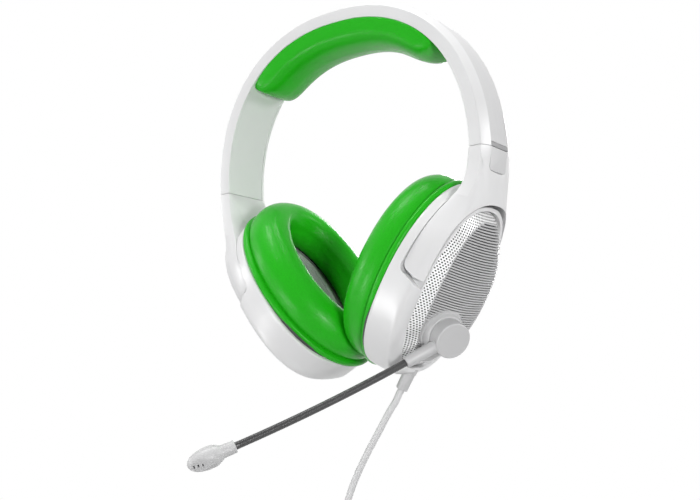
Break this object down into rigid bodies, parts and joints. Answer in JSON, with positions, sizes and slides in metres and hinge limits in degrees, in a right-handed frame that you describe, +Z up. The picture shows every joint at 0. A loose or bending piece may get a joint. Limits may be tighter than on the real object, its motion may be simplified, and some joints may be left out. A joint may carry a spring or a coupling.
{
  "type": "boom microphone headset",
  "caption": "Over-ear headset with a padded sprung band, sliding yokes, tilting domed ear cups, a turning boom microphone on the left cup and a thin coiled lead.",
  "frame": {"origin": "where the top of the head meets the underside of the head cushion, on the middle of the band", "axes": "+Z up, +X towards the wearer's left ear, -Y the way the wearer faces"},
  "size_m": [0.1632, 0.1425, 0.3511],
  "materials": {
    "shell_white": "satin moulded plastic",
    "grille_border": "perforated, satin",
    "spring_steel": "brushed",
    "green_leatherette": "soft leatherette, fine grain",
    "strip_grey": "matt",
    "bar_grey": "matt",
    "inner_dark": "matt",
    "grille_grey": "satin",
    "magnet_plate": "plated",
    "diaphragm_film": "thin film",
    "ear_cloth": "woven cloth over foam",
    "board_green": "solder mask",
    "mic_grey": "satin",
    "neck_black": "ribbed rubber",
    "capsule_black": "matt",
    "lead_grey": "smooth rubber",
    "tie_black": "matt",
    "plug_gold": "plated"
  },
  "bodies": {
    "band": {"band_shell": "shell_white", "inner_cover": "shell_white", "spring_band": "spring_steel", "head_cushion": "green_leatherette", "crown_strip": "strip_grey", "strip_bar_left": "bar_grey", "strip_bar_right": "bar_grey", "slider_guide_left": "inner_dark", "slider_guide_right": "inner_dark"},
    "yoke_arm_left": {"slider_rail_left": "spring_steel", "yoke_left": "shell_white", "yoke_insert_left": "strip_grey", "pivot_pins_left": "spring_steel"},
    "yoke_arm_right": {"slider_rail_right": "spring_steel", "yoke_right": "shell_white", "yoke_insert_right": "strip_grey", "pivot_pins_right": "spring_steel"},
    "cup_left": {"cup_housing_left": "shell_white", "grille_rim_left": "grille_border", "grille_slats_left": "grille_grey", "baffle_left": "inner_dark", "driver_basket_left": "inner_dark", "driver_magnet_left": "magnet_plate", "diaphragm_left": "diaphragm_film", "ear_screen_left": "ear_cloth", "cushion_carrier_left": "inner_dark", "ear_cushion_left": "green_leatherette", "wiring_board": "board_green", "mic_boss": "mic_grey", "mic_spindle": "spring_steel", "strain_relief": "mic_grey", "lead_cord": "lead_grey", "lead_coil": "lead_grey", "coil_tie": "tie_black", "plug_boot": "lead_grey", "plug_pin": "plug_gold"},
    "cup_right": {"cup_housing_right": "shell_white", "grille_rim_right": "grille_border", "grille_slats_right": "grille_grey", "baffle_right": "inner_dark", "driver_basket_right": "inner_dark", "driver_magnet_right": "magnet_plate", "diaphragm_right": "diaphragm_film", "ear_screen_right": "ear_cloth", "cushion_carrier_right": "inner_dark", "ear_cushion_right": "green_leatherette"},
    "boom": {"boom_socket": "mic_grey", "knob_cap": "mic_grey", "gooseneck": "neck_black", "mic_collar": "mic_grey", "mic_housing": "mic_grey", "mic_capsule": "capsule_black"}
  },
  "joints": [
    {"name": "slide_left", "type": "slide", "parent": "band", "child": "yoke_arm_left", "axis": [0.1219, 0, -0.9925], "range_m": [0, 0.025]},
    {"name": "slide_right", "type": "slide", "parent": "band", "child": "yoke_arm_right", "axis": [-0.1219, 0, -0.9925], "range_m": [0, 0.025]},
    {"name": "tilt_left", "type": "hinge", "parent": "yoke_arm_left", "child": "cup_left", "pos_m": [0.04934, 0.00282, -0.11902], "axis": [0.0662, -0.9969, -0.0422], "range_deg": [0, 8]},
    {"name": "tilt_right", "type": "hinge", "parent": "yoke_arm_right", "child": "cup_right", "pos_m": [-0.04934, 0.00282, -0.11902], "axis": [0.0662, 0.9969, 0.0422], "range_deg": [0, 8]},
    {"name": "boom_turn", "type": "hinge", "parent": "cup_left", "child": "boom", "pos_m": [0.04876, -0.00698, -0.149], "axis": [0.7548, -0.4462, -0.4808], "range_deg": [-136, 15]}
  ]
}
